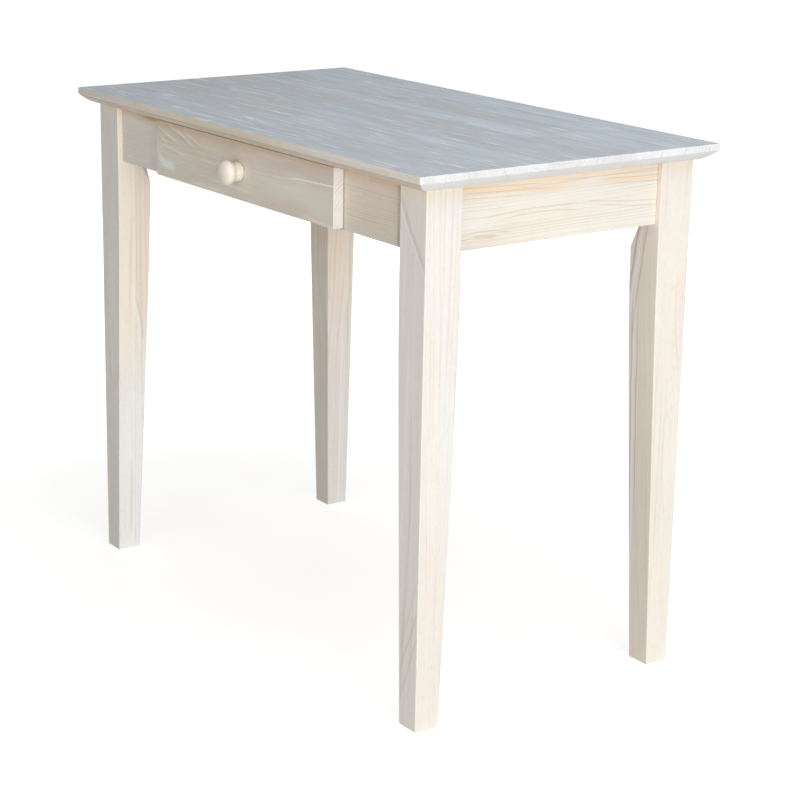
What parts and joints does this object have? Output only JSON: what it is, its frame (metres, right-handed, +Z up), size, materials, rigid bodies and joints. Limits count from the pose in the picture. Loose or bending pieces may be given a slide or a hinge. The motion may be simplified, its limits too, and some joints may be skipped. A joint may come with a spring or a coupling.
{
  "type": "writing table",
  "caption": "Shaker-style writing table in bare pale wood: tapered legs, aprons set back, under-bevelled top and a shallow sliding drawer with a turned knob.",
  "frame": {"origin": "on the floor, under the middle of the top", "axes": "+Z up, +X along the long side to the right as seen from the drawer, +Y from the drawer to the back"},
  "size_m": [0.9144, 0.5206, 0.762],
  "materials": {
    "top_wood": "sanded bare hardwood, edge-glued staves, matte",
    "leg_wood": "sanded bare hardwood, matte",
    "apron_wood": "sanded bare hardwood, matte",
    "drawer_front_wood": "sanded bare hardwood, matte",
    "drawer_box_wood": "planed bare hardwood, matte",
    "inner_wood": "rough planed hardwood",
    "panel_wood": "thin plywood, matte",
    "knob_wood": "turned hardwood, smooth satin",
    "zinc_steel": "bright zinc plating"
  },
  "bodies": {
    "table": {"table_top": "top_wood", "leg_front_left": "leg_wood", "leg_front_right": "leg_wood", "leg_rear_left": "leg_wood", "leg_rear_right": "leg_wood", "front_apron": "apron_wood", "rear_apron": "apron_wood", "left_apron": "apron_wood", "right_apron": "apron_wood", "corner_block_front_left": "inner_wood", "corner_block_front_right": "inner_wood", "corner_block_rear_left": "inner_wood", "corner_block_rear_right": "inner_wood", "hanger_bolt_front_left": "zinc_steel", "bolt_washer_front_left": "zinc_steel", "wing_nut_front_left": "zinc_steel", "block_screw_front_left_a": "zinc_steel", "block_screw_front_left_b": "zinc_steel", "top_screw_front_left": "zinc_steel", "hanger_bolt_front_right": "zinc_steel", "bolt_washer_front_right": "zinc_steel", "wing_nut_front_right": "zinc_steel", "block_screw_front_right_a": "zinc_steel", "block_screw_front_right_b": "zinc_steel", "top_screw_front_right": "zinc_steel", "hanger_bolt_rear_left": "zinc_steel", "bolt_washer_rear_left": "zinc_steel", "wing_nut_rear_left": "zinc_steel", "block_screw_rear_left_a": "zinc_steel", "block_screw_rear_left_b": "zinc_steel", "top_screw_rear_left": "zinc_steel", "hanger_bolt_rear_right": "zinc_steel", "bolt_washer_rear_right": "zinc_steel", "wing_nut_rear_right": "zinc_steel", "block_screw_rear_right_a": "zinc_steel", "block_screw_rear_right_b": "zinc_steel", "top_screw_rear_right": "zinc_steel", "drawer_runner_left": "inner_wood", "drawer_kicker_left": "inner_wood", "drawer_runner_right": "inner_wood", "drawer_kicker_right": "inner_wood"},
    "drawer": {"drawer_front": "drawer_front_wood", "drawer_box_front": "drawer_box_wood", "drawer_box_back": "drawer_box_wood", "drawer_side_left": "drawer_box_wood", "drawer_side_right": "drawer_box_wood", "drawer_bottom": "panel_wood", "drawer_stop": "inner_wood", "drawer_knob": "knob_wood", "drawer_front_screw_left": "zinc_steel", "drawer_front_screw_right": "zinc_steel", "knob_screw": "zinc_steel", "stop_screw": "zinc_steel"}
  },
  "joints": [
    {"name": "drawer_slide", "type": "slide", "parent": "table", "child": "drawer", "axis": [0, -1, 0], "range_m": [0, 0.312]}
  ]
}
